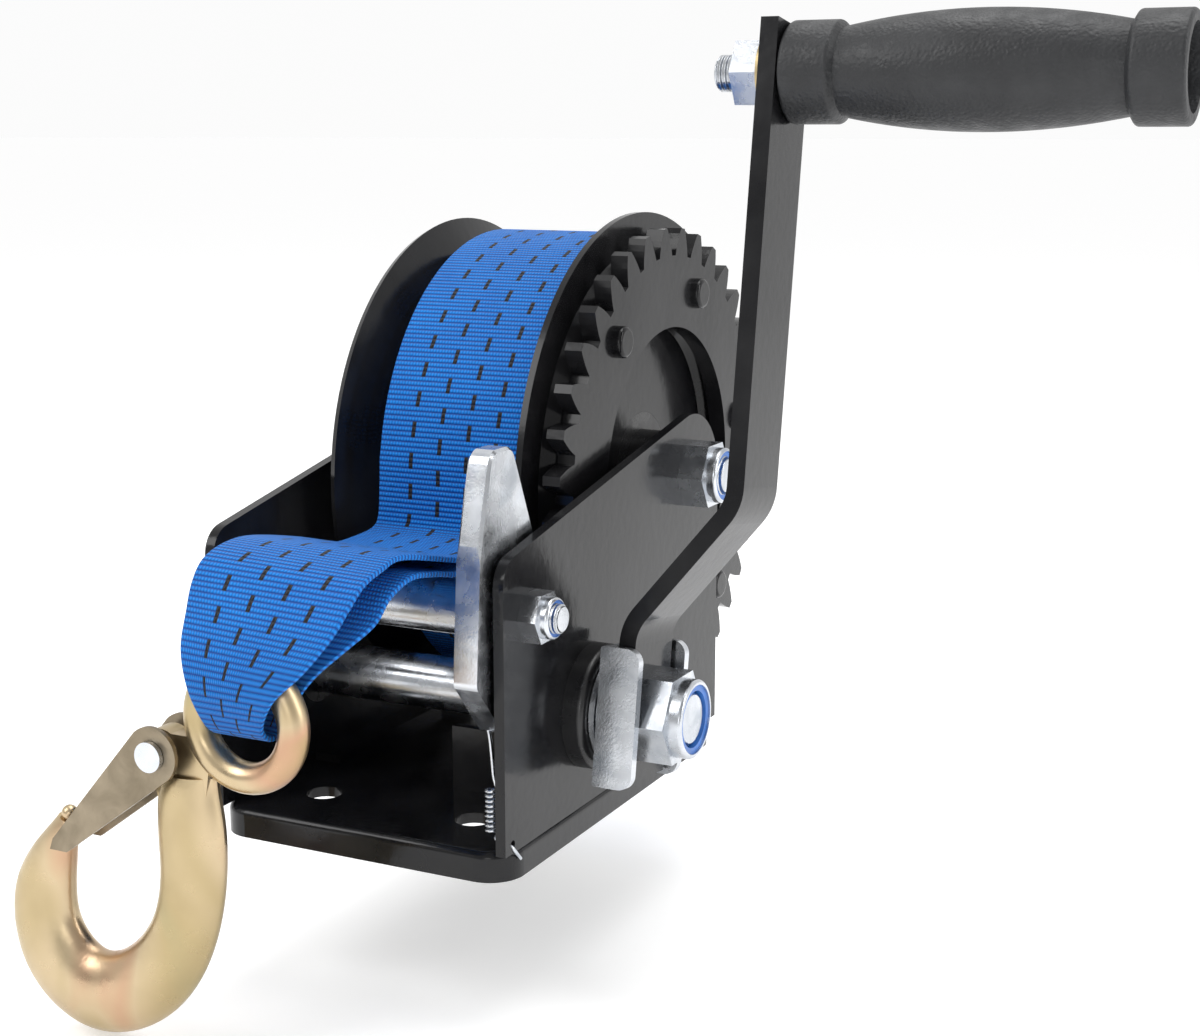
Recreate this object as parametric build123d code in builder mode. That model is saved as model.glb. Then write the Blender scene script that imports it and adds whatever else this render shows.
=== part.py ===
from build123d import *
import os
from math import acos, atan2, cos, degrees, pi, radians, sin, sqrt, tan

# Hand winch for a boat trailer. Millimetres.
# +X points to the crank side, -Y to the front where the strap leaves, +Z up.
# The origin is the centre of the four base holes, on the underside of the base plate.

# Frame: one folded and welded sheet with a lip all round its base
SHEET = 3.0
FRAME_WIDTH = 95.0
FRAME_DEPTH = 144.0
LIP_DROP = 5.3
BASE_CORNER = 10.0
SIDE_TOP_FRONT = 82.6
SIDE_TOP_SLOPE = 0.196
SIDE_TOP_RADIUS = 21.0
BASE_HOLE_R = 5.25
BASE_HOLES_X = 50.0
BASE_HOLES_Y = 100.0
PLATE_OUT = FRAME_WIDTH / 2
PLATE_IN = PLATE_OUT - SHEET

# Axes of the three cross shafts, as (y, z)
AXLE = (49.0, 87.7)
DRIVE = (-21.5, 31.76)
TIE = (-57.5, 66.2)

# Gear pair
MODULE = 4.0
GEAR_TEETH = 36
PINION_TEETH = 9
PRESSURE_ANGLE = radians(25)
BACKLASH = 0.5
GEAR_BACK = 34.8
GEAR_FACE = 40.3
GEAR_HOLE_R = 45.0
RIVET_CIRCLE_R = 57.5
RIVETS = 6

# Drum
STRAP_WIDTH = 48.4
STRAP_LEFT = -20.4
STRAP_RIGHT = STRAP_LEFT + STRAP_WIDTH
WOUND_R = 71.0
CORE_R = 21.0
CORE_BORE_R = 18.05
FLANGE_SHEET = 2.0
LEFT_FLANGE_X = -21.7
RIGHT_FLANGE_X = 29.3
FLANGE_R = 80.0

# Shafts and bolts
DRIVE_R = 8.0
AXLE_R = 6.0
SLEEVE_R = 8.0
TIE_R = 4.0
ROLLER_R = 7.5
RUNNING = 0.05

# Crank
CRANK_ANGLE = radians(9)
CRANK_LENGTH = 178.0
ARM_WIDTH = 25.0
ARM_THICK = 5.0
ARM_HUB_X = 63.5
ARM_TOP_X = 91.9
BRACKET_X = 57.8
GRIP_START = 95.0
GRIP_END = 200.0

# Pawl
PAWL_LEFT = 36.4
PAWL_THICK = 7.0
PAWL_SWING = radians(14)

# Strap end and hook
WEB_THICK = 1.8
HOOK_Y = -118.5
HOOK_HALF = 5.5
EYE = (-0.4, 47.0)
EYE_R = 14.4
EYE_WIRE_R = 4.1
LATCH_PIVOT = (-25.0, 36.9)
LATCH_TIP = (-57.5, 4.6)

os.makedirs("parts", exist_ok=True)


def side_plane(x, centre=(0.0, 0.0)):
    """A plane facing +X whose own x and y run along Y and Z."""
    return Plane(origin=(x, centre[0], centre[1]), x_dir=(0, 1, 0), z_dir=(1, 0, 0))


def front_plane(y):
    """A plane facing -Y whose own x and y run along X and Z."""
    return Plane(origin=(0, y, 0), x_dir=(1, 0, 0), z_dir=(0, -1, 0))


def turning_plane(centre):
    """A plane through a cross axis: its own x runs along X, its own y is the radius."""
    return Plane(origin=(0, centre[0], centre[1]), x_dir=(1, 0, 0), z_dir=(0, -1, 0))


def cross_axis(centre):
    return Axis((0, centre[0], centre[1]), (1, 0, 0))


CRANK_PLANE = Plane(
    origin=(0, DRIVE[0], DRIVE[1]),
    x_dir=(1, 0, 0),
    z_dir=(0, -cos(CRANK_ANGLE), sin(CRANK_ANGLE)),
)
GRIP = (DRIVE[0] + CRANK_LENGTH * sin(CRANK_ANGLE), DRIVE[1] + CRANK_LENGTH * cos(CRANK_ANGLE))


def finish(builder, label):
    builder.part.label = label
    export_step(builder.part, f"parts/{label}.step")


def disc(x, length, centre, radius, mode=Mode.ADD):
    """A round bar along X inside the open part."""
    with BuildSketch(side_plane(x, centre)) as section:
        Circle(radius)
    extrude(section.sketch, amount=length, mode=mode)


def ring(x, length, centre, outer, inner):
    """A round tube along X inside the open part."""
    with BuildSketch(side_plane(x, centre)) as section:
        Circle(outer)
        Circle(inner, mode=Mode.SUBTRACT)
    extrude(section.sketch, amount=length)


def bar(x, length, centre, across_flats):
    """A hexagonal bar along X inside the open part, two corners on its Y axis."""
    with BuildSketch(side_plane(x, centre)) as section:
        RegularPolygon(across_flats / 2, 6, major_radius=False)
    extrude(section.sketch, amount=length)


def box(low, high, mode=Mode.ADD):
    """A block between two corners inside the open part."""
    middle = [(a + b) / 2 for a, b in zip(low, high)]
    with Locations(tuple(middle)):
        Box(*[b - a for a, b in zip(low, high)], mode=mode)


def turned(point, angle):
    """A point turned about the plane's origin, anticlockwise."""
    return (
        point[0] * cos(angle) - point[1] * sin(angle),
        point[0] * sin(angle) + point[1] * cos(angle),
    )


def lock_nut(label, x, centre, across_flats, hex_length, collar_r, collar_length, bore_r, seat_r):
    """A nylon-insert lock nut on a cross shaft, and its insert as a separate ring."""
    seat_length = collar_length - 0.6
    with BuildPart() as nut:
        bar(x, hex_length, centre, across_flats)
        disc(x + hex_length, collar_length, centre, collar_r)
        fillet(nut.faces().sort_by(Axis.X)[-1].edges(), radius=1.0)
        disc(x, hex_length + collar_length, centre, bore_r, mode=Mode.SUBTRACT)
        disc(x + hex_length, collar_length, centre, seat_r, mode=Mode.SUBTRACT)
    finish(nut, label)
    with BuildPart() as insert:
        ring(x + hex_length, seat_length, centre, seat_r, bore_r)
    finish(insert, f"{label}_insert")


def involute(angle):
    return tan(angle) - angle


def gear_outline(teeth, tip_r, root_r, first_tooth):
    """Points round an involute gear, with one tooth centred on the first_tooth angle."""
    pitch_r = MODULE * teeth / 2
    base_r = pitch_r * cos(PRESSURE_ANGLE)
    half_at_pitch = pi / teeth / 2 - BACKLASH / 4 / pitch_r
    start_r = max(base_r, root_r)
    steps = 5
    flank = []
    for i in range(steps + 1):
        radius = start_r + (tip_r - start_r) * i / steps
        half = half_at_pitch + involute(PRESSURE_ANGLE) - involute(acos(base_r / radius))
        flank.append((radius, half))
    half_root = flank[0][1] + (0.15 * MODULE / root_r if root_r > base_r else 0.0)
    profile = [(root_r, half_root)] + flank
    points = []
    for tooth in range(teeth):
        middle = first_tooth + 2 * pi * tooth / teeth
        for radius, half in profile:
            points.append((radius * cos(middle - half), radius * sin(middle - half)))
        for radius, half in reversed(profile):
            points.append((radius * cos(middle + half), radius * sin(middle + half)))
    return points


TO_PINION = atan2(DRIVE[1] - AXLE[1], DRIVE[0] - AXLE[0])
GEAR_TIP_R = MODULE * GEAR_TEETH / 2 + 0.85 * MODULE
GEAR_ROOT_R = MODULE * GEAR_TEETH / 2 - 1.25 * MODULE
PINION_TIP_R = MODULE * PINION_TEETH / 2 + MODULE
PINION_ROOT_R = MODULE * PINION_TEETH / 2 - 1.2 * MODULE


# ---------------------------------------------------------------- frame

with BuildPart() as frame:
    with BuildSketch(Plane.XY.offset(-LIP_DROP)):
        RectangleRounded(FRAME_WIDTH, FRAME_DEPTH, BASE_CORNER)
    extrude(amount=LIP_DROP + SHEET)
    with BuildSketch(Plane.XY.offset(-LIP_DROP)):
        RectangleRounded(FRAME_WIDTH - 2 * SHEET, FRAME_DEPTH - 2 * SHEET, BASE_CORNER - SHEET)
    extrude(amount=LIP_DROP, mode=Mode.SUBTRACT)
    fillet(frame.edges().group_by(Axis.Z)[-1].sort_by(Axis.Y)[0], radius=2.0)
    for plate_x in (-PLATE_OUT, PLATE_IN):
        with BuildSketch(side_plane(plate_x)) as side:
            with BuildLine():
                Polyline(
                    (-FRAME_DEPTH / 2, SHEET),
                    (FRAME_DEPTH / 2 - 1.5, SHEET),
                    (FRAME_DEPTH / 2 - 1.5, SIDE_TOP_FRONT + SIDE_TOP_SLOPE * (FRAME_DEPTH - 1.5)),
                    (-FRAME_DEPTH / 2, SIDE_TOP_FRONT),
                    close=True,
                )
            make_face()
            fillet(side.vertices().sort_by(Axis.Y)[-1], radius=SIDE_TOP_RADIUS)
            fillet(side.vertices().sort_by(Axis.Y)[2:4].sort_by(Axis.X)[0], radius=8)
        extrude(amount=SHEET)
    # foot of the left plate, and the tab bent up under the drive shaft
    box((-PLATE_IN, -26, SHEET), (-35.5, 34, SHEET + 2.5))
    box((6.4, -29.5, SHEET), (30, -26.5, 22))
    # a slot in each plate for its drive bush, and the bolt holes
    disc(-PLATE_OUT, FRAME_WIDTH, DRIVE, 11.05, mode=Mode.SUBTRACT)
    disc(-PLATE_OUT, FRAME_WIDTH, AXLE, AXLE_R + 0.1, mode=Mode.SUBTRACT)
    disc(-PLATE_OUT, FRAME_WIDTH, TIE, TIE_R + 0.1, mode=Mode.SUBTRACT)
    disc(PLATE_IN, SHEET, (-68.0, 5.5), 1.2, mode=Mode.SUBTRACT)
    with Locations((0, 0, SHEET)):
        with GridLocations(BASE_HOLES_X, BASE_HOLES_Y, 2, 2):
            Hole(BASE_HOLE_R, depth=SHEET)
finish(frame, "frame")

# ---------------------------------------------------------------- drum axle

with BuildPart() as axle_bolt:
    bar(-PLATE_OUT - 7.5, 7.5, AXLE, 19)
    disc(-PLATE_OUT, FRAME_WIDTH + 12.5, AXLE, AXLE_R)
    chamfer(axle_bolt.faces().sort_by(Axis.X)[-1].edges(), length=1.0)
finish(axle_bolt, "axle_bolt")

with BuildPart() as axle_sleeve:
    ring(-PLATE_IN, 2 * PLATE_IN, AXLE, SLEEVE_R, AXLE_R + RUNNING)
finish(axle_sleeve, "axle_sleeve")

lock_nut("axle_nut", PLATE_OUT, AXLE, 19, 8.2, 8.6, 3.6, AXLE_R + RUNNING, 7.6)

# ---------------------------------------------------------------- drum

with BuildPart() as drum_core:
    ring(LEFT_FLANGE_X + 1, RIGHT_FLANGE_X - LEFT_FLANGE_X - 2, AXLE, CORE_R, CORE_BORE_R)
    # slot that the strap's end passes through
    box((-15, AXLE[0] - 3, AXLE[1] + 15), (23, AXLE[0] + 3, AXLE[1] + 25), mode=Mode.SUBTRACT)
finish(drum_core, "drum_core")

with BuildPart() as drum_flange_left:
    with BuildSketch(turning_plane(AXLE)):
        with BuildLine():
            FilletPolyline((LEFT_FLANGE_X, CORE_BORE_R), (LEFT_FLANGE_X, 50), (-34.4, 76.6), radius=9)
        trace(line_width=FLANGE_SHEET)
    revolve(axis=cross_axis(AXLE))
finish(drum_flange_left, "drum_flange_left")

PAD_X = GEAR_BACK - FLANGE_SHEET / 2
with BuildPart() as drum_flange_right:
    with BuildSketch(turning_plane(AXLE)):
        with BuildLine():
            FilletPolyline(
                (RIGHT_FLANGE_X, CORE_BORE_R),
                (RIGHT_FLANGE_X, 47),
                (PAD_X, 50),
                (PAD_X, 65),
                (RIGHT_FLANGE_X, 69),
                (RIGHT_FLANGE_X, FLANGE_R),
                radius=1.2,
            )
        trace(line_width=FLANGE_SHEET)
    revolve(axis=cross_axis(AXLE))
    with BuildSketch(side_plane(RIGHT_FLANGE_X, AXLE)):
        with PolarLocations(RIVET_CIRCLE_R, RIVETS, start_angle=10):
            Circle(3.05)
    extrude(amount=10, mode=Mode.SUBTRACT)
finish(drum_flange_right, "drum_flange_right")

with BuildPart() as ring_gear:
    with BuildSketch(side_plane(GEAR_BACK, AXLE)):
        with BuildLine():
            Polyline(*gear_outline(GEAR_TEETH, GEAR_TIP_R, GEAR_ROOT_R, TO_PINION + pi / GEAR_TEETH), close=True)
        make_face()
        Circle(GEAR_HOLE_R, mode=Mode.SUBTRACT)
        with PolarLocations(RIVET_CIRCLE_R, RIVETS, start_angle=10):
            Circle(3.05, mode=Mode.SUBTRACT)
    extrude(amount=GEAR_FACE - GEAR_BACK)
finish(ring_gear, "ring_gear")

with BuildPart() as gear_rivets:
    with BuildSketch(side_plane(GEAR_BACK - FLANGE_SHEET, AXLE)):
        with PolarLocations(RIVET_CIRCLE_R, RIVETS, start_angle=10):
            Circle(3.0)
    extrude(amount=GEAR_FACE - GEAR_BACK + FLANGE_SHEET)
    with BuildSketch(side_plane(GEAR_FACE, AXLE)):
        with PolarLocations(RIVET_CIRCLE_R, RIVETS, start_angle=10):
            Circle(4.75)
    extrude(amount=2.8)
    fillet(gear_rivets.faces().filter_by(Axis.X).group_by(Axis.X)[-1].edges(), radius=1.2)
finish(gear_rivets, "gear_rivets")

with BuildPart() as drum_bushes:
    ring(-PLATE_IN + 0.3, LEFT_FLANGE_X - 1 + PLATE_IN - 0.3, AXLE, 12.5, SLEEVE_R + RUNNING)
    ring(LEFT_FLANGE_X - 1, 11, AXLE, CORE_BORE_R - RUNNING, SLEEVE_R + RUNNING)
    ring(RIGHT_FLANGE_X + 1 - 11, 11, AXLE, CORE_BORE_R - RUNNING, SLEEVE_R + RUNNING)
    ring(RIGHT_FLANGE_X + 1, PLATE_IN - 0.3 - RIGHT_FLANGE_X - 1, AXLE, 12.5, SLEEVE_R + RUNNING)
finish(drum_bushes, "drum_bushes")

with BuildPart() as strap_pin:
    disc(LEFT_FLANGE_X + 10.2, RIGHT_FLANGE_X - LEFT_FLANGE_X - 20.4, (AXLE[0], AXLE[1] + 13), 3)
finish(strap_pin, "strap_pin")

with BuildPart() as wound_strap:
    ring(STRAP_LEFT, STRAP_WIDTH, AXLE, WOUND_R, CORE_R + 0.3)
finish(wound_strap, "wound_strap")

# ---------------------------------------------------------------- tie bolt and roller

with BuildPart() as tie_bolt:
    bar(-PLATE_OUT - 5.3, 5.3, TIE, 13)
    disc(-PLATE_OUT, FRAME_WIDTH + 10, TIE, TIE_R)
    chamfer(tie_bolt.faces().sort_by(Axis.X)[-1].edges(), length=0.7)
finish(tie_bolt, "tie_bolt")

lock_nut("tie_nut", PLATE_OUT, TIE, 13, 5.4, 5.7, 2.8, TIE_R + RUNNING, 5.0)

with BuildPart() as strap_roller:
    ring(-PLATE_IN + 0.4, PLATE_IN - 0.4 + 33.2, TIE, ROLLER_R, TIE_R + RUNNING)
finish(strap_roller, "strap_roller")

with BuildPart() as tie_spacers:
    ring(33.6, PAWL_LEFT - 0.2 - 33.6, TIE, 8.5, TIE_R + RUNNING)
    ring(PAWL_LEFT + PAWL_THICK + 0.2, PLATE_IN - PAWL_LEFT - PAWL_THICK - 0.2, TIE, 8.5, TIE_R + RUNNING)
finish(tie_spacers, "tie_spacers")

# ---------------------------------------------------------------- pawl

# The nose is set out where it sits in a pinion gap, then turned back to the free position.
nose = [turned(p, -PAWL_SWING) for p in ((11.5, -20.0), (13.3, -27.5), (20.3, -33.0), (20.0, -35.2), (9.0, -34.5))]
with BuildPart() as pawl:
    with BuildSketch(side_plane(PAWL_LEFT, TIE)) as pawl_outline:
        with BuildLine():
            Polyline(
                (-12.3, 45.5),
                (-0.8, 45.5),
                (11.5, 18.0),
                (12.5, -4.0),
                *nose,
                (0.6, -24.2),
                (-8.0, -31.0),
                (-21.5, -15.3),
                (-18.7, 21.5),
                (-16.0, 32.0),
                close=True,
            )
        make_face()
        fillet(pawl_outline.vertices().sort_by(Axis.Y)[-2:], radius=4.5)
        fillet(pawl_outline.vertices().sort_by(Axis.X)[0], radius=3)
        Circle(TIE_R + RUNNING, mode=Mode.SUBTRACT)
        with Locations((-6.5, -24.5)):
            Circle(1.0, mode=Mode.SUBTRACT)
    extrude(amount=PAWL_THICK)
    chamfer(pawl.faces().filter_by(Axis.X).edges().group_by(Axis.Z)[-1], length=0.8)
finish(pawl, "pawl")

with BuildPart() as pawl_spring:
    with BuildSketch(Plane(origin=(40.2, -66, 8), z_dir=(0, 0, 1))):
        Circle(2.0)
        Circle(1.0, mode=Mode.SUBTRACT)
    extrude(amount=26)
finish(pawl_spring, "pawl_spring")

# ---------------------------------------------------------------- drive shaft

BUSH_OUT = PLATE_OUT + 6.5
with BuildPart() as drive_bushes:
    ring(PLATE_IN, SHEET, DRIVE, 11, DRIVE_R + RUNNING)
    ring(PLATE_OUT, BUSH_OUT - PLATE_OUT, DRIVE, 18, DRIVE_R + RUNNING)
    fillet(drive_bushes.faces().sort_by(Axis.X)[-1].edges().sort_by(Edge.length)[-1], radius=2)
    ring(-PLATE_OUT, SHEET, DRIVE, 11, DRIVE_R + RUNNING)
    ring(-PLATE_OUT - 4, 4, DRIVE, 18, DRIVE_R + RUNNING)
finish(drive_bushes, "drive_bushes")

with BuildPart() as drive_shaft:
    disc(-PLATE_OUT - 10, PLATE_OUT + 10 + 79.2, DRIVE, DRIVE_R)
    chamfer(drive_shaft.faces().filter_by(Axis.X).edges(), length=1.2)
    with BuildSketch(side_plane(-PLATE_OUT - 6.2, DRIVE)):
        Circle(DRIVE_R)
        Circle(DRIVE_R - 1, mode=Mode.SUBTRACT)
    extrude(amount=1.6, mode=Mode.SUBTRACT)
finish(drive_shaft, "drive_shaft")

with BuildPart() as shaft_clip:
    with BuildSketch(side_plane(-PLATE_OUT - 6.1, DRIVE)):
        Circle(DRIVE_R + 4)
        Circle(DRIVE_R - 0.95, mode=Mode.SUBTRACT)
        with Locations((0, -10)):
            Rectangle(9, 12, mode=Mode.SUBTRACT)
    extrude(amount=1.4)
finish(shaft_clip, "shaft_clip")

with BuildPart() as drive_pinion:
    with BuildSketch(side_plane(33.0, DRIVE)):
        with BuildLine():
            Polyline(*gear_outline(PINION_TEETH, PINION_TIP_R, PINION_ROOT_R, TO_PINION + pi), close=True)
        make_face()
        Circle(DRIVE_R + RUNNING, mode=Mode.SUBTRACT)
    extrude(amount=10.8)
finish(drive_pinion, "drive_pinion")

with BuildPart() as thrust_washers:
    ring(BUSH_OUT + 0.3, 1.5, DRIVE, 15, DRIVE_R + RUNNING)
    ring(BUSH_OUT + 2.1, 1.5, DRIVE, 14, DRIVE_R + RUNNING)
finish(thrust_washers, "thrust_washers")

# ---------------------------------------------------------------- crank

BRACKET_OUT = 17.3
BRACKET_TOP = 19.5
with BuildPart() as crank_bracket:
    with BuildSketch(CRANK_PLANE):
        with BuildLine():
            Polyline(
                (BRACKET_X, -BRACKET_TOP),
                (BRACKET_X + 11.7, -BRACKET_TOP),
                (BRACKET_X + 11.7, BRACKET_TOP),
                (BRACKET_X, BRACKET_TOP),
                close=True,
            )
        make_face()
    extrude(amount=BRACKET_OUT, both=True)
    fillet(crank_bracket.edges().filter_by(Plane(CRANK_PLANE.origin, z_dir=CRANK_PLANE.y_dir)).sort_by(Axis.X)[:2], radius=0.8)
    with BuildSketch(CRANK_PLANE):
        with Locations((BRACKET_X + SHEET + 10, 0)):
            Rectangle(20, 2 * BRACKET_TOP + 2)
    extrude(amount=BRACKET_OUT - SHEET, both=True, mode=Mode.SUBTRACT)
    fillet(crank_bracket.edges().filter_by(GeomType.LINE).filter_by(Axis((0, 0, 0), tuple(CRANK_PLANE.z_dir))).group_by(Axis.X)[-1], radius=4)
    disc(BRACKET_X - 1, SHEET + 2, DRIVE, DRIVE_R + RUNNING, mode=Mode.SUBTRACT)
finish(crank_bracket, "crank_bracket")

with BuildPart() as crank_arm:
    with BuildSketch(CRANK_PLANE):
        with BuildLine():
            FilletPolyline(
                (ARM_HUB_X, -18),
                (ARM_HUB_X, 25),
                (ARM_TOP_X, 61),
                (ARM_TOP_X, CRANK_LENGTH + 12.5),
                radius=14,
            )
        trace(line_width=ARM_THICK)
    extrude(amount=ARM_WIDTH / 2, both=True)
    disc(ARM_HUB_X - 5, 10, DRIVE, DRIVE_R + RUNNING, mode=Mode.SUBTRACT)
    disc(ARM_TOP_X - 5, 10, GRIP, 5 + RUNNING, mode=Mode.SUBTRACT)
finish(crank_arm, "crank_arm")

lock_nut("crank_nut", ARM_HUB_X + ARM_THICK / 2, DRIVE, 24, 10.2, 11.2, 4.2, DRIVE_R + RUNNING, 9.8)

ARM_INNER = ARM_TOP_X - ARM_THICK / 2
ARM_OUTER = ARM_TOP_X + ARM_THICK / 2
with BuildPart() as grip_bolt:
    disc(73.5, 190 - 73.5, GRIP, 5)
    disc(ARM_OUTER, 3.2, GRIP, 7.5)
    bar(190, 6.4, GRIP, 16)
    chamfer(grip_bolt.faces().sort_by(Axis.X)[0].edges(), length=0.8)
finish(grip_bolt, "grip_bolt")

with BuildPart() as grip_washer:
    ring(ARM_INNER - 1.8, 1.8, GRIP, 10, 5 + RUNNING)
finish(grip_washer, "grip_washer")

with BuildPart() as grip_nut:
    bar(ARM_INNER - 1.8 - 7.6, 7.6, GRIP, 17)
    disc(ARM_INNER - 20, 20, GRIP, 5 + RUNNING, mode=Mode.SUBTRACT)
finish(grip_nut, "grip_nut")

with BuildPart() as grip:
    with BuildSketch(turning_plane(GRIP)):
        with BuildLine():
            outline = Polyline((GRIP_END - 15, 11.9), (GRIP_END - 13.5, 14.4), (GRIP_END, 14.4), (GRIP_END, 11.2),
                               (GRIP_END - 13, 11.2), (GRIP_END - 13, 5 + RUNNING), (GRIP_START + 4, 5 + RUNNING),
                               (GRIP_START + 4, 8), (GRIP_START, 8), (GRIP_START, 13.7), (GRIP_START + 13.5, 13.7),
                               (GRIP_START + 15, 11.9))
            Spline(outline @ 1, (GRIP_START + 50, 15.7), outline @ 0)
        make_face()
    revolve(axis=cross_axis(GRIP))
    fillet(grip.edges().filter_by(GeomType.CIRCLE).filter_by(lambda e: 13.5 < e.radius < 14.6), radius=1.2)
finish(grip, "grip")

# ---------------------------------------------------------------- strap end

with BuildPart() as strap_end:
    with BuildSketch(side_plane(STRAP_LEFT)):
        with BuildLine():
            FilletPolyline(
                (-22.8, 79.5),
                (-57.5, 78.4),
                (-88, 85.6),
                (-106, 84.8),
                (-113.5, 77.5),
                (-124.8, 68),
                (-124.8, 56),
                (-120.6, 46.2),
                (-116.4, 46.2),
                (-111, 60),
                (-108, 71.5),
                (-101, 76.5),
                (-90, 80),
                (-78, 80.0),
                (-58, 75.3),
                (-46, 75.6),
                radius=1.8,
            )
        trace(line_width=WEB_THICK)
    extrude(amount=STRAP_WIDTH)
    # the two sides are folded in where the strap passes through the eye
    for edge_x, waist_x, eye_x in ((STRAP_RIGHT, 9.3, 7.5), (STRAP_LEFT, -10.0, -8.5)):
        outside = 1 if edge_x > 0 else -1
        with BuildSketch(front_plane(-100)):
            with BuildLine():
                Polyline(
                    (edge_x, 76),
                    (edge_x - outside * 6, 66),
                    (waist_x, 57),
                    (eye_x, 40),
                    (edge_x + outside * 5, 40),
                    (edge_x + outside * 5, 76),
                    close=True,
                )
            make_face()
        extrude(amount=40, mode=Mode.SUBTRACT)
finish(strap_end, "strap_end")

# ---------------------------------------------------------------- hook

# Round sections down the shank and round the bowl to the tip:
# the middle (x, z), the way that the steel runs in degrees, the width and the thickness
HOOK_SECTIONS = (
    ((-18.2, 31.0), -88, 16.0, 9.0),
    ((-18.9, 22.0), -90, 19.4, 11.0),
    ((-18.9, 4.0), -92, 19.8, 11.0),
    ((-24.5, -16.5), -121, 19.5, 12.0),
    ((-37.0, -30.5), -152, 21.5, 13.5),
    ((-52.5, -35.0), -188, 23.0, 14.0),
    ((-66.0, -26.5), -232, 23.0, 13.0),
    ((-69.2, -10.5), -277, 19.5, 11.0),
    ((-64.5, 3.0), -291, 12.5, 9.0),
    ((-60.2, 12.5), -296, 5.0, 5.0),
)
with BuildPart() as hook:
    for (middle_x, middle_z), heading, width, thickness in HOOK_SECTIONS:
        run = radians(heading)
        section_plane = Plane(
            origin=(middle_x, HOOK_Y, middle_z),
            x_dir=(-sin(run), 0, cos(run)),
            z_dir=(cos(run), 0, sin(run)),
        )
        with BuildSketch(section_plane):
            Ellipse(width / 2, thickness / 2)
    loft()
    with Locations((-59.4, HOOK_Y, 13.9)):
        Sphere(2.2)
    with BuildSketch(front_plane(HOOK_Y)):
        with Locations(LATCH_PIVOT):
            Circle(6)
        with BuildLine():
            Polyline((-30, 34), (-24, 42), (-14, 42), (-10, 36), (-12, 24), (-26, 22), close=True)
        make_face()
    extrude(amount=HOOK_HALF - 2.5, both=True)
    with BuildSketch(Plane(origin=(EYE[0], HOOK_Y, EYE[1]), x_dir=(1, 0, 0), z_dir=(0, 0, 1))):
        with Locations((EYE_R, 0)):
            Circle(EYE_WIRE_R)
    revolve(axis=Axis((EYE[0], HOOK_Y, EYE[1]), (0, 1, 0)))
    with BuildSketch(front_plane(HOOK_Y)):
        with Locations(LATCH_PIVOT):
            Circle(2.55)
    extrude(amount=10, both=True, mode=Mode.SUBTRACT)
finish(hook, "hook")

latch_dx = LATCH_TIP[0] - LATCH_PIVOT[0]
latch_dz = LATCH_TIP[1] - LATCH_PIVOT[1]
latch_length = sqrt(latch_dx**2 + latch_dz**2)
LATCH_PLANE = Plane(origin=(LATCH_PIVOT[0], HOOK_Y, LATCH_PIVOT[1]), x_dir=(latch_dx, 0, latch_dz), z_dir=(0, -1, 0))
LEAF_IN = HOOK_HALF + 0.6
LEAF = 1.2
with BuildPart() as latch:
    with BuildSketch(LATCH_PLANE):
        Circle(7.6)
        with BuildLine():
            Polyline((0, -7.6), (latch_length - 2, -4.4), (latch_length + 1, -3.0), (latch_length - 3, 1.0), (1.5, 7.45), close=True)
        make_face()
    extrude(amount=LEAF_IN + LEAF, both=True)
    with BuildSketch(LATCH_PLANE):
        with Locations((latch_length / 2, 3.4)):
            Rectangle(latch_length + 30, 20)
    extrude(amount=LEAF_IN, both=True, mode=Mode.SUBTRACT)
    with BuildSketch(LATCH_PLANE):
        with Locations((-3, 0)):
            Rectangle(23, 20)
    extrude(amount=LEAF_IN, both=True, mode=Mode.SUBTRACT)
    with BuildSketch(LATCH_PLANE):
        Circle(2.5 + RUNNING)
    extrude(amount=10, both=True, mode=Mode.SUBTRACT)
finish(latch, "latch")

with BuildPart() as latch_rivet:
    with BuildSketch(front_plane(HOOK_Y)):
        with Locations(LATCH_PIVOT):
            Circle(2.5)
    extrude(amount=LEAF_IN + LEAF + 0.2, both=True)
    for head_y in (HOOK_Y - LEAF_IN - LEAF - 1.6, HOOK_Y + LEAF_IN + LEAF + 0.2):
        with BuildSketch(front_plane(head_y + 1.4)):
            with Locations(LATCH_PIVOT):
                Circle(4)
        extrude(amount=1.4)
finish(latch_rivet, "latch_rivet")

with BuildPart() as latch_spring:
    with BuildSketch(front_plane(HOOK_Y - 3.2)):
        with Locations(LATCH_PIVOT):
            Circle(4.1)
            Circle(3.1, mode=Mode.SUBTRACT)
    extrude(amount=2.4)
finish(latch_spring, "latch_spring")
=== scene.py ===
import bpy
from math import cos, pi, radians, sin
from mathutils import Matrix, Vector


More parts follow.
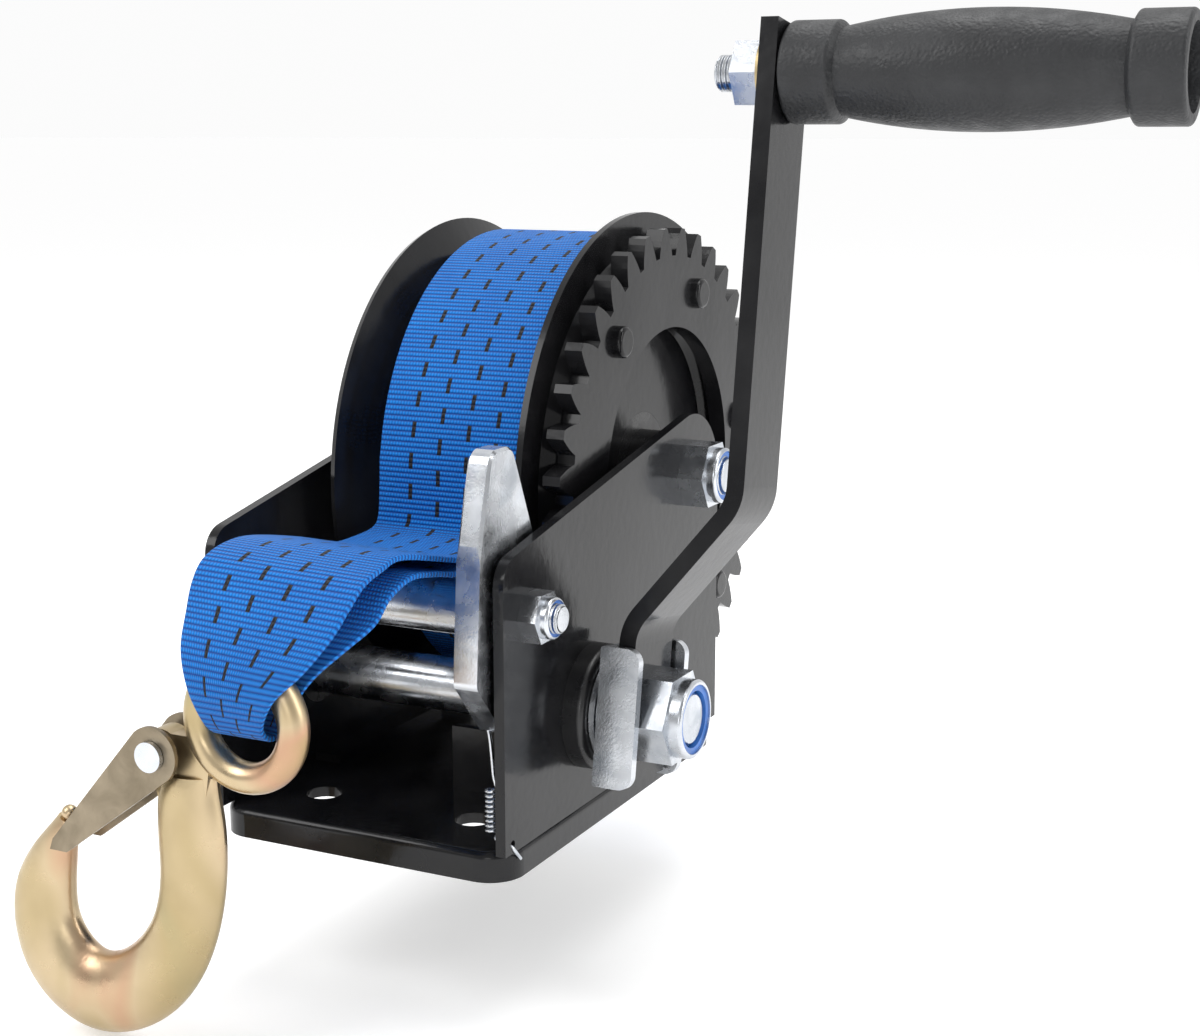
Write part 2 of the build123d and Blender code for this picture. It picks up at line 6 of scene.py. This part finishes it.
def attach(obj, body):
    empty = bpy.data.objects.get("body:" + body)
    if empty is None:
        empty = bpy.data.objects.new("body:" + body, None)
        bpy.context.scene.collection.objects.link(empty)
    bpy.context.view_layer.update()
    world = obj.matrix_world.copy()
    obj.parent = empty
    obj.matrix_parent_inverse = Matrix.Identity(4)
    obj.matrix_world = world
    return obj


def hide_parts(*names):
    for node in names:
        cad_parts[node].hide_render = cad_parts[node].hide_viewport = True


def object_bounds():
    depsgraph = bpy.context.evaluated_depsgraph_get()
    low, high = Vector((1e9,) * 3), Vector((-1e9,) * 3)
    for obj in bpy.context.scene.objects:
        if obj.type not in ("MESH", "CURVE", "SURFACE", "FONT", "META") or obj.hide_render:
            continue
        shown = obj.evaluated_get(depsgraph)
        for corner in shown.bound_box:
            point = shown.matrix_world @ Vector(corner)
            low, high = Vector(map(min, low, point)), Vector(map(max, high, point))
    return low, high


# Hand winch for a boat trailer: materials, webbing, wire springs, light and camera.
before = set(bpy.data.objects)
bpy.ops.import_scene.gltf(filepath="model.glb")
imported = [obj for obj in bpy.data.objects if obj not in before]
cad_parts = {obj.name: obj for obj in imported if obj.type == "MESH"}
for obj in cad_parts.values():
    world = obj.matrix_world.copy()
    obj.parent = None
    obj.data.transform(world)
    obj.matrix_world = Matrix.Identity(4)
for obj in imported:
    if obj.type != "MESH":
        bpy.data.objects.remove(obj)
cad_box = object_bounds()

# The webbing, the wires, the threads and the edge radii are set out in millimetres, in the CAD's frame.
# MM turns them into metres, in which the textures, the floor, the lights and the camera are set out.
MM = 0.001
WEB_WIDTH = 48.0
WEB_THICK = 1.5
WEB_LEFT = -20.2  # x of the webbing's left edge
AXLE = (49.0, 87.7)  # y and z of the drum's axle
CORE_R = 21.4
WEB_PITCH = 1.7  # from one turn of webbing to the next
WEB_OUTER_R = 71.6
WEB_LEAVES_AT = radians(530)  # about the axle from +Y, a full turn and 170 degrees
STEPS_PER_TURN = 64


# ---------------------------------------------------------------- material helpers

class Finish:
    """A procedural material: one shader, with helpers that add and join nodes."""

    def __init__(self, name, **values):
        self.material = bpy.data.materials.new(name)
        self.material.use_nodes = True
        self.tree = self.material.node_tree
        self.shader = self.tree.nodes["Principled BSDF"]
        for socket, value in values.items():
            self.shader.inputs[socket.replace("_", " ")].default_value = value
        self.material.diffuse_color = self.shader.inputs["Base Color"].default_value
        self.bumps = None

    def node(self, kind, **settings):
        made = self.tree.nodes.new(kind)
        for key, value in settings.items():
            setattr(made, key, value)
        return made

    def link(self, source, target):
        self.tree.links.new(source, target)

    def place(self):
        return self.node("ShaderNodeTexCoord").outputs["Object"]

    def noise(self, scale, detail=4.0, distortion=0.0):
        texture = self.node("ShaderNodeTexNoise")
        texture.inputs["Scale"].default_value = scale
        texture.inputs["Detail"].default_value = detail
        texture.inputs["Distortion"].default_value = distortion
        self.link(self.place(), texture.inputs["Vector"])
        return texture.outputs["Fac"]

    def cells(self, scale):
        texture = self.node("ShaderNodeTexVoronoi", feature="SMOOTH_F1")
        texture.inputs["Scale"].default_value = scale
        self.link(self.place(), texture.inputs["Vector"])
        return texture.outputs["Distance"]

    def spread(self, value, low, high):
        """The middle range of a noise, mapped to low and high."""
        mapped = self.node("ShaderNodeMapRange")
        mapped.inputs["From Min"].default_value = 0.3
        mapped.inputs["From Max"].default_value = 0.7
        mapped.inputs["To Min"].default_value = low
        mapped.inputs["To Max"].default_value = high
        self.link(value, mapped.inputs["Value"])
        return mapped.outputs["Result"]

    def math(self, operation, first, second=0.0, third=0.0):
        made = self.node("ShaderNodeMath", operation=operation)
        for socket, value in zip(made.inputs, (first, second, third)):
            if isinstance(value, (int, float)):
                socket.default_value = value
            else:
                self.link(value, socket)
        return made.outputs[0]

    def ramp(self, value, *stops):
        made = self.node("ShaderNodeValToRGB")
        elements = made.color_ramp.elements
        while len(elements) < len(stops):
            elements.new(0.5)
        for element, (position, colour) in zip(elements, stops):
            element.position = position
            element.color = (*colour, 1)
        self.link(value, made.inputs["Fac"])
        return made.outputs["Color"]

    def mix(self, factor, first, second):
        made = self.node("ShaderNodeMix", data_type="RGBA")
        self.link(factor, made.inputs["Factor"])
        for socket, value in ((made.inputs[6], first), (made.inputs[7], second)):
            if isinstance(value, tuple):
                socket.default_value = (*value, 1)
            else:
                self.link(value, socket)
        return made.outputs[2]

    def bump(self, height, strength, distance):
        made = self.node("ShaderNodeBump")
        made.inputs["Strength"].default_value = strength
        made.inputs["Distance"].default_value = distance
        self.link(height, made.inputs["Height"])
        if self.bumps:
            self.link(self.bumps, made.inputs["Normal"])
        self.bumps = made.outputs["Normal"]
        self.link(self.bumps, self.shader.inputs["Normal"])

    def colour(self, value):
        self.link(value, self.shader.inputs["Base Color"])

    def roughness(self, value):
        self.link(value, self.shader.inputs["Roughness"])


def black_paint():
    """Gloss powder coat: faint orange peel, and dust that dulls it in patches."""
    paint = Finish("black_paint", Base_Color=(0.009, 0.009, 0.010, 1),
                   Roughness=0.2, Specular_IOR_Level=0.27)
    dust = paint.noise(45, 8)
    paint.colour(paint.ramp(dust, (0.35, (0.006, 0.006, 0.007)), (0.75, (0.016, 0.016, 0.017))))
    paint.roughness(paint.spread(dust, 0.11, 0.22))
    paint.bump(paint.noise(330, 2), 0.12, 0.0004)
    return paint


def zinc(name="bright_zinc"):
    """Bright zinc plate: bluish, softly mottled, with a fine satin grain."""
    plate = Finish(name, Base_Color=(0.68, 0.70, 0.73, 1), Metallic=1.0, Roughness=0.25)
    mottle = plate.noise(70, 6, 0.6)
    plate.colour(plate.ramp(
        mottle,
        (0.3, (0.44, 0.47, 0.51)),
        (0.52, (0.62, 0.64, 0.67)),
        (0.72, (0.54, 0.57, 0.63)),
    ))
    plate.roughness(plate.spread(plate.noise(160, 8), 0.16, 0.34))
    plate.bump(plate.noise(1400, 3), 0.08, 0.0003)
    return plate


def threaded_zinc(name, pitch, start, end):
    """Zinc plate that looks threaded from start to end along X, all in millimetres."""
    plate = zinc(name)
    axes = plate.node("ShaderNodeSeparateXYZ")
    plate.link(plate.place(), axes.inputs[0])
    wave = plate.math("SINE", plate.math("MULTIPLY", axes.outputs["X"], 2 * pi / (pitch * MM)))
    inside = plate.math("MULTIPLY", plate.math("GREATER_THAN", axes.outputs["X"], start * MM),
                        plate.math("LESS_THAN", axes.outputs["X"], end * MM))
    plate.bump(plate.math("MULTIPLY", wave, inside), 1.0, 0.0006)
    return plate


def yellow_zinc():
    """Yellow chromate: champagne gold that drifts to pink and to green."""
    plate = Finish("yellow_zinc", Base_Color=(0.66, 0.54, 0.34, 1), Metallic=1.0, Roughness=0.3)
    drift = plate.noise(22, 2, 0.6)
    plate.colour(plate.ramp(
        drift,
        (0.25, (0.31, 0.29, 0.16)),
        (0.42, (0.42, 0.33, 0.18)),
        (0.56, (0.52, 0.41, 0.26)),
        (0.68, (0.50, 0.31, 0.20)),
        (0.82, (0.36, 0.29, 0.13)),
    ))
    plate.roughness(plate.spread(plate.noise(120, 8), 0.24, 0.42))
    plate.bump(plate.noise(260, 5), 0.16, 0.0005)
    return plate


def latch_metal():
    """Rolled sheet with a dull yellow passivate and a fine grain."""
    sheet = Finish("latch_metal", Base_Color=(0.42, 0.36, 0.26, 1), Metallic=1.0, Roughness=0.38)
    mottle = sheet.noise(90, 5, 0.8)
    sheet.colour(sheet.ramp(mottle, (0.3, (0.20, 0.165, 0.115)), (0.7, (0.30, 0.25, 0.18))))
    sheet.roughness(sheet.spread(sheet.noise(300, 6), 0.3, 0.5))
    sheet.bump(sheet.noise(1100, 3), 0.1, 0.0003)
    return sheet


def grip_plastic():
    """Moulded charcoal plastic with a pebbled skin."""
    plastic = Finish("grip_plastic", Base_Color=(0.019, 0.020, 0.022, 1),
                     Roughness=0.48, Specular_IOR_Level=0.4)
    mottle = plastic.noise(60, 6)
    plastic.colour(plastic.ramp(mottle, (0.3, (0.014, 0.0145, 0.016)), (0.75, (0.024, 0.025, 0.027))))
    plastic.roughness(plastic.spread(plastic.noise(200, 6), 0.4, 0.58))
    plastic.bump(plastic.cells(1100), 0.45, 0.00035)
    plastic.bump(plastic.noise(700, 4), 0.25, 0.0004)
    return plastic


def moulded(name, colour, roughness):
    """Smooth moulded nylon with a slight flow mottle."""
    plastic = Finish(name, Base_Color=(*colour, 1), Roughness=roughness)
    darker = tuple(channel * 0.7 for channel in colour)
    plastic.colour(plastic.ramp(plastic.noise(140, 5), (0.3, darker), (0.7, colour)))
    plastic.roughness(plastic.spread(plastic.noise(220, 5), roughness * 0.8, roughness * 1.2))
    plastic.bump(plastic.noise(600, 3), 0.12, 0.0003)
    return plastic


def webbing():
    """Woven polyester: cross ribs, warp yarns and columns of staggered black dashes.

    Its UVs are in millimetres, across and then along the webbing.
    """
    rib_pitch = 1.5
    yarn_pitch = 1.0
    yarn_depth = 0.22
    column_pitch = 9.2
    column_start = 3.0
    column_half_share = 0.072  # half a column's width, as a share of the column pitch
    dash_pitch = 9.0
    dash_share = 0.52
    marked_half_width = 19.0  # the dashes keep clear of both edges
    stagger = 0.5
    cloth = Finish("strap_fabric", Base_Color=(0.01, 0.16, 0.72, 1),
                   Roughness=0.55, Specular_IOR_Level=0.25, Sheen_Weight=0.05)
    uv = cloth.node("ShaderNodeUVMap", uv_map="UVMap")
    axes = cloth.node("ShaderNodeSeparateXYZ")
    cloth.link(uv.outputs["UV"], axes.inputs[0])
    across = axes.outputs["X"]
    along = axes.outputs["Y"]
    rows = cloth.math("DIVIDE", along, rib_pitch)
    row = cloth.math("FLOOR", rows)
    rib = cloth.math("ABSOLUTE", cloth.math("SINE", cloth.math("MULTIPLY", rows, pi)))
    yarn_angle = cloth.math("MULTIPLY", cloth.math("ADD", cloth.math("DIVIDE", across, yarn_pitch),
                                                   cloth.math("MULTIPLY", row, stagger)), 2 * pi)
    yarn = cloth.math("MULTIPLY_ADD", cloth.math("SINE", yarn_angle), yarn_depth, 1 - yarn_depth)
    height = cloth.math("MULTIPLY", rib, yarn)
    # painted light on the weave: the colour follows the weave height, dark blue in the hollows between the
    # ribs as painted shade and bright blue on the rib tops as painted highlight
    weave_painted_light = cloth.mix(height, (0.0, 0.035, 0.26), (0.001, 0.27, 0.84))
    fade = cloth.ramp(cloth.noise(55, 5), (0.3, (0.80, 0.84, 0.90)), (0.7, (1.0, 1.0, 1.0)))
    # the painted weave shade and highlight, multiplied by a random fade of the dye
    weave_light_and_fade = cloth.node("ShaderNodeMix", data_type="RGBA", blend_type="MULTIPLY")
    weave_light_and_fade.inputs["Factor"].default_value = 1.0
    cloth.link(weave_painted_light, weave_light_and_fade.inputs[6])
    cloth.link(fade, weave_light_and_fade.inputs[7])
    columns = cloth.math("DIVIDE", cloth.math("ADD", across, column_start), column_pitch)
    column = cloth.math("FLOOR", columns)
    off_middle = cloth.math("ABSOLUTE", cloth.math("SUBTRACT", cloth.math("FRACT", columns), 0.5))
    on_column = cloth.math("LESS_THAN", off_middle, column_half_share)
    from_centre = cloth.math("ABSOLUTE", cloth.math("SUBTRACT", across, WEB_WIDTH / 2))
    clear_of_edges = cloth.math("LESS_THAN", from_centre, marked_half_width)
    on_column = cloth.math("MULTIPLY", on_column, clear_of_edges)
    dashes = cloth.math("FRACT", cloth.math("ADD", cloth.math("DIVIDE", along, dash_pitch),
                                            cloth.math("MULTIPLY", column, stagger)))
    mark = cloth.math("MULTIPLY", on_column, cloth.math("LESS_THAN", dashes, dash_share))
    cloth.colour(cloth.mix(mark, weave_light_and_fade.outputs[2], (0.008, 0.008, 0.012)))
    cloth.bump(height, 0.9, 0.0008)
    return cloth


# ---------------------------------------------------------------- finishes on the CAD nodes

PAINT = black_paint()
ZINC = zinc()
YELLOW = yellow_zinc()
LATCH = latch_metal()
GRIP = grip_plastic()
NYLON = moulded("nylon_insert", (0.03, 0.16, 0.55), 0.35)
BUSH = moulded("bush_plastic", (0.012, 0.012, 0.013), 0.3)
WEB = webbing()

# a node that has no row here is zinc plated
FINISHES = {
    PAINT: ("frame", "crank_arm", "drum_flange_left", "drum_flange_right", "ring_gear", "gear_rivets"),
    YELLOW: ("hook", "grip_washer"),
    LATCH: ("latch",),
    GRIP: ("grip",),
    NYLON: ("axle_nut_insert", "tie_nut_insert", "crank_nut_insert"),
    BUSH: ("drive_bushes", "drum_bushes"),
    threaded_zinc("axle_thread", pitch=1.75, start=47.5, end=60): ("axle_bolt",),
    threaded_zinc("tie_thread", pitch=1.25, start=47.5, end=58): ("tie_bolt",),
    threaded_zinc("shaft_thread", pitch=2.0, start=64, end=78.6): ("drive_shaft",),
    threaded_zinc("grip_thread", pitch=1.5, start=73.8, end=95): ("grip_bolt",),
}
finish_of = {node: finish for finish, nodes in FINISHES.items() for node in nodes}
for name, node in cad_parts.items():
    made = finish_of.get(name, ZINC)
    node.data.materials.clear()
    node.data.materials.append(made.material)

# worn, slightly rounded edges, in millimetres, where sheet was cut and parts were machined
EDGE_RADIUS = {
    "frame": 0.7,
    "crank_arm": 0.7,
    "crank_bracket": 0.6,
    "drum_flange_left": 0.5,
    "drum_flange_right": 0.5,
    "ring_gear": 0.45,
    "pawl": 0.7,
    "hook": 1.2,
    "latch": 0.25,
    "crank_nut": 0.5,
    "axle_nut": 0.4,
    "tie_nut": 0.3,
    "grip_nut": 0.4,
    "axle_bolt": 0.4,
    "tie_bolt": 0.3,
    "thrust_washers": 0.3,
    "drive_bushes": 0.4,
}
for name, radius in EDGE_RADIUS.items():
    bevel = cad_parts[name].modifiers.new("edges", "BEVEL")
    bevel.width = radius * MM
    bevel.segments = 3
    bevel.limit_method = "ANGLE"
    bevel.angle_limit = radians(32)
    bevel.use_clamp_overlap = True
    bevel.harden_normals = True


# ---------------------------------------------------------------- webbing

def web_mesh(name, stations):
    """Webbing from stations along it, each a pair of edge points.

    Returns the piece, its length in metres and its area in square metres.
    """
    columns = 16
    mesh = bpy.data.meshes.new(name)
    points = []
    lengths = []
    travelled = 0.0
    before = None
    for left, right in stations:
        middle = (left + right) / 2
        if before is not None:
            travelled += (middle - before).length
        before = middle
        lengths.append(travelled)
        points += [left.lerp(right, i / columns) * MM for i in range(columns + 1)]
    step = columns + 1
    faces = [
        (row * step + i, row * step + i + 1, (row + 1) * step + i + 1, (row + 1) * step + i)
        for row in range(len(stations) - 1)
        for i in range(columns)
    ]
    mesh.from_pydata(points, [], faces)
    layer = mesh.uv_layers.new(name="UVMap")
    for loop in mesh.loops:
        row, column = divmod(loop.vertex_index, step)
        layer.data[loop.index].uv = (column * WEB_WIDTH / columns, lengths[row])
    mesh.shade_smooth()
    mesh.materials.append(WEB.material)
    piece = bpy.data.objects.new(name, mesh)
    bpy.context.scene.collection.objects.link(piece)
    area = sum(face.area for face in mesh.polygons)
    return piece, travelled * MM, area


def thicken(piece):
    """Gives a webbing surface its thickness, half to each side, and softens its edges."""
    solid = piece.modifiers.new("thickness", "SOLIDIFY")
    solid.thickness = WEB_THICK * MM
    solid.offset = 0
    edges = piece.modifiers.new("edges", "BEVEL")
    edges.width = 0.4 * MM
    edges.segments = 2
    edges.limit_method = "ANGLE"
    edges.angle_limit = radians(60)


def wound_webbing():
    """The webbing on the drum: one spiral from the core to the place where it leaves."""
    left_inset = 0.3
    right_inset = 0.6
    wander = 0.35  # how far the turns drift to either side
    wander_rate = 2.3  # radians for each turn
    turns = (WEB_OUTER_R - CORE_R) / WEB_PITCH
    steps = int(turns * STEPS_PER_TURN)
    stations = []
    for i in range(steps + 1):
        left_to_go = turns * (1 - i / steps)
        radius = WEB_OUTER_R - WEB_PITCH * left_to_go - WEB_THICK / 2
        angle = WEB_LEAVES_AT - 2 * pi * left_to_go
        y = AXLE[0] + radius * cos(angle)
        z = AXLE[1] + radius * sin(angle)
        drift = wander * sin(left_to_go * wander_rate)
        stations.append((
            Vector((WEB_LEFT + drift + left_inset, y, z)),
            Vector((WEB_LEFT + WEB_WIDTH - right_inset + drift, y, z)),
        ))
    piece, length, _ = web_mesh("webbing_on_drum", stations)
    thicken(piece)
    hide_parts("wound_strap")
    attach(piece, "drum")


def smooth_path(points, steps):
    """Points along a Catmull-Rom curve through the given ones."""
    path = []
    last = len(points) - 1
    for i in range(last):
        before = points[max(i - 1, 0)]
        start = points[i]
        end = points[i + 1]
        after = points[min(i + 2, last)]
        for k in range(steps):
            t = k / steps
            path.append(0.5 * (2 * start + (end - before) * t
                               + (2 * before - 5 * start + 4 * end - after) * t**2
                               + (3 * start - before - 3 * end + after) * t**3))
    path.append(points[-1])
    return path


def webbing_end():
    """The free end: off the drum, over the roller, down through the hook's eye and back under itself.

    Its first half turn lies on the drum's webbing, but stays with the frame when the drum turns.
    """
    steps_between = 6
    last_wrap_rise = 1.4  # the last wrap's middle lies this far outside the turns under it
    left_x = WEB_LEFT
    right_x = WEB_LEFT + WEB_WIDTH
    # each place: left edge x, y, z and right edge x, y, z
    places = [
        (left_x, -23.4, 98.0, right_x, -23.4, 98.0),
        (left_x, -23.9, 89.0, right_x, -23.9, 89.0),
        (left_x, -24.9, 81.5, right_x, -24.9, 81.5),
        (left_x, -28.0, 78.2, right_x, -28.0, 78.2),
        (left_x, -37.0, 77.2, right_x, -37.0, 77.2),
        (left_x, -51.0, 77.6, right_x, -51.0, 77.6),
        (left_x, -65.0, 81.9, right_x, -64.0, 80.6),
        (left_x, -87.0, 86.6, right_x, -88.0, 86.0),
        (left_x, -98.5, 87.0, right_x, -98.0, 84.9),
        (left_x - 0.3, -107.0, 84.6, right_x, -106.5, 82.6),
        (left_x - 0.5, -111.5, 79.6, right_x - 0.5, -112.5, 78.0),
        (-19.4, -116.0, 73.0, 25.6, -118.5, 71.5),
        (-16.8, -122.0, 65.0, 20.5, -123.4, 63.5),
        (-12.6, -125.4, 56.5, 13.2, -125.6, 56.0),
        (-9.2, -124.4, 48.5, 9.0, -124.4, 48.5),
        (-8.6, -120.4, 44.6, 8.2, -120.4, 44.6),
        (-8.6, -116.2, 44.8, 8.4, -116.2, 44.8),
        (-9.2, -112.6, 50.0, 9.4, -112.8, 50.0),
        (-12.5, -110.2, 58.5, 14.5, -110.4, 58.0),
        (-17.0, -106.5, 66.5, 22.0, -106.8, 65.5),
        (-19.6, -101.0, 73.5, 27.2, -101.0, 71.5),
        (left_x, -94.0, 79.2, right_x, -94.5, 77.0),
        (left_x, -84.0, 81.6, right_x, -84.0, 79.8),
        (left_x, -72.0, 80.0, right_x, -72.0, 78.3),
        (left_x, -60.0, 76.5, right_x, -60.0, 76.0),
        (left_x, -47.0, 76.4, right_x, -47.0, 76.4),
    ]
    left = smooth_path([Vector(place[:3]) for place in places], steps_between)
    right = smooth_path([Vector(place[3:]) for place in places], steps_between)
    # the last wrap, over the top of the drum from behind, in degrees about the axle from +Y
    wrap_r = WEB_OUTER_R + last_wrap_rise
    wrap = [radians(angle) for angle in range(25, 168, 4)]
    around = [(AXLE[0] + wrap_r * cos(angle), AXLE[1] + wrap_r * sin(angle)) for angle in wrap]
    left = [Vector((left_x, y, z)) for y, z in around] + left
    right = [Vector((right_x, y, z)) for y, z in around] + right
    piece, length, area = web_mesh("webbing_end", list(zip(left, right)))
    thicken(piece)
    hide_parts("strap_end")
    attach(piece, "frame")


wound_webbing()
webbing_end()


# ---------------------------------------------------------------- wire springs

def wire(name, points, radius, body, replaced):
    """A round wire that follows the given points, all in millimetres."""
    curve = bpy.data.curves.new(name, "CURVE")
    curve.dimensions = "3D"
    curve.bevel_depth = radius * MM
    curve.bevel_resolution = 3
    curve.resolution_u = 3
    spline = curve.splines.new("NURBS")
    spline.points.add(len(points) - 1)
    for place, point in zip(spline.points, points):
        place.co = (*(value * MM for value in point), 1)
    spline.order_u = 3
    spline.use_endpoint_u = True
    curve.use_fill_caps = True
    curve.materials.append(ZINC.material)
    piece = bpy.data.objects.new(name, curve)
    bpy.context.scene.collection.objects.link(piece)
    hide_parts(replaced)
    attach(piece, body)


def coil(centre, axis_start, axis_end, radius, turns, place):
    """Points round a coil; place puts the two cross axes and the coil's own axis in x, y, z order."""
    points_per_turn = 10
    count = int(turns * points_per_turn)
    return [
        place(
            centre[0] + radius * cos(2 * pi * turns * i / count),
            centre[1] + radius * sin(2 * pi * turns * i / count),
            axis_start + (axis_end - axis_start) * i / count,
        )
        for i in range(count + 1)
    ]


def pawl_spring():
    """A pull spring: an end hooked on the frame, an upright coil, and an end that reaches the pawl."""
    frame_end = [
        (47.9, -64.5, 0.5),
        (47.9, -67.0, 3.0),
        (47.0, -68.0, 5.2),
        (44.0, -68.0, 5.4),
        (41.4, -67.2, 6.0),
    ]
    coiled = coil(centre=(40.2, -66.0), axis_start=7.0, axis_end=19.5, radius=1.7, turns=9,
                  place=lambda x, y, z: (x, y, z))
    pawl_end = [
        (40.6, -65.8, 22.5),
        (40.2, -65.6, 27.0),
        (39.2, -65.4, 36.0),
        (36.2, -64.6, 40.2),
        (35.4, -64.2, 42.0),
        (36.6, -64.0, 43.2),
    ]
    wire("pawl_spring_wire", frame_end + coiled + pawl_end, 0.5, "frame", "pawl_spring")


def latch_spring():
    """A torsion spring: a leg along the latch, two turns round the rivet, and a leg on the hook.

    All of it rides on the hook, so the leg along the latch stays behind when the latch opens.
    """
    hook_y = -118.5
    latch_leg = [
        (-49.0, hook_y - 4.0, 18.0),
        (-38.0, hook_y - 4.4, 28.5),
        (-29.0, hook_y - 4.6, 37.5),
    ]
    coiled = coil(centre=(-25.0, 36.9), axis_start=hook_y - 4.6, axis_end=hook_y - 3.4, radius=3.4, turns=2,
                  place=lambda x, z, y: (x, y, z))
    hook_leg = [
        (-22.0, hook_y - 3.6, 33.0),
        (-21.0, hook_y - 3.8, 27.0),
    ]
    wire("latch_spring_wire", latch_leg + coiled + hook_leg, 0.45, "hook", "latch_spring")


pawl_spring()
latch_spring()


# ---------------------------------------------------------------- floor, light and camera

def floor():
    """A wide pale floor, 2 mm under the lowest point, that glows a little so that it stays near white."""
    mesh = bpy.data.meshes.new("floor")
    half = 60.0  # metres
    level = cad_box[0][2] - 2 * MM
    corners = [(-half, -half, level), (half, -half, level), (half, half, level), (-half, half, level)]
    mesh.from_pydata(corners, [], [(0, 1, 2, 3)])
    pale = Finish("pale_floor", Base_Color=(0.95, 0.95, 0.95, 1),
                  Roughness=0.9, Specular_IOR_Level=0.0,
                  Emission_Color=(1, 1, 1, 1), Emission_Strength=0.26)
    pale.bump(pale.noise(20, 2), 0.02, 0.001)
    mesh.materials.append(pale.material)
    piece = bpy.data.objects.new("floor", mesh)
    bpy.context.scene.collection.objects.link(piece)


def softbox(name, place, aim, width, height, power):
    """An area light at place, turned towards aim, in metres and watts."""
    light = bpy.data.lights.new(name, "AREA")
    light.shape = "RECTANGLE"
    light.size = width
    light.size_y = height
    light.energy = power
    lamp = bpy.data.objects.new(name, light)
    bpy.context.scene.collection.objects.link(lamp)
    lamp.location = place
    lamp.rotation_euler = (Vector(aim) - Vector(place)).to_track_quat("-Z", "Y").to_euler()


def white_room():
    """A white room that is dimmer on the side that the front faces, so that gloss black stays deep."""
    world = bpy.data.worlds.new("studio")
    bpy.context.scene.world = world
    world.use_nodes = True
    nodes = world.node_tree.nodes
    links = world.node_tree.links
    background = nodes["Background"]
    background.inputs["Color"].default_value = (1, 1, 1, 1)
    direction = nodes.new("ShaderNodeTexCoord")
    facing = nodes.new("ShaderNodeVectorMath")
    facing.operation = "DOT_PRODUCT"
    facing.inputs[1].default_value = (0.44, -0.88, 0.2)
    brightness = nodes.new("ShaderNodeMapRange")
    brightness.inputs["From Min"].default_value = -0.3
    brightness.inputs["From Max"].default_value = 0.6
    brightness.inputs["To Min"].default_value = 0.97
    brightness.inputs["To Max"].default_value = 0.55
    links.new(direction.outputs["Generated"], facing.inputs[0])
    links.new(facing.outputs["Value"], brightness.inputs["Value"])
    links.new(brightness.outputs["Result"], background.inputs["Strength"])


def main_camera():
    """The camera: its turn about the winch and its height as angles, and its place in metres."""
    azimuth = radians(26.2)
    elevation = radians(11.4)
    place = (0.2822, -0.4923, 0.1921)
    back = Vector((sin(azimuth) * cos(elevation), -cos(azimuth) * cos(elevation), sin(elevation)))
    right = Vector((cos(azimuth), sin(azimuth), 0))
    up = back.cross(right)
    turned = Matrix((right, up, back)).transposed().to_4x4()
    lens = bpy.data.cameras.new("camera")
    lens.sensor_fit = "HORIZONTAL"
    lens.sensor_width = 36.0
    lens.lens = 57.54
    lens.clip_start = 0.01
    camera = bpy.data.objects.new("camera", lens)
    bpy.context.scene.collection.objects.link(camera)
    camera.matrix_world = Matrix.Translation(place) @ turned
    bpy.context.scene.camera = camera


floor()
softbox("key", (-0.7, -0.9, 1.0), aim=(0, 0, 0.08), width=0.7, height=0.9, power=9)
softbox("side", (1.1, 0.1, 0.55), aim=(0, 0, 0.08), width=0.35, height=0.9, power=5)
softbox("top", (0.1, 0.2, 1.3), aim=(0, 0, 0.1), width=1.0, height=0.6, power=7)
softbox("front", (0.45, -1.4, 0.35), aim=(0, 0, 0.08), width=0.5, height=0.5, power=2)
white_room()
main_camera()
bpy.context.scene.view_settings.view_transform = "Standard"
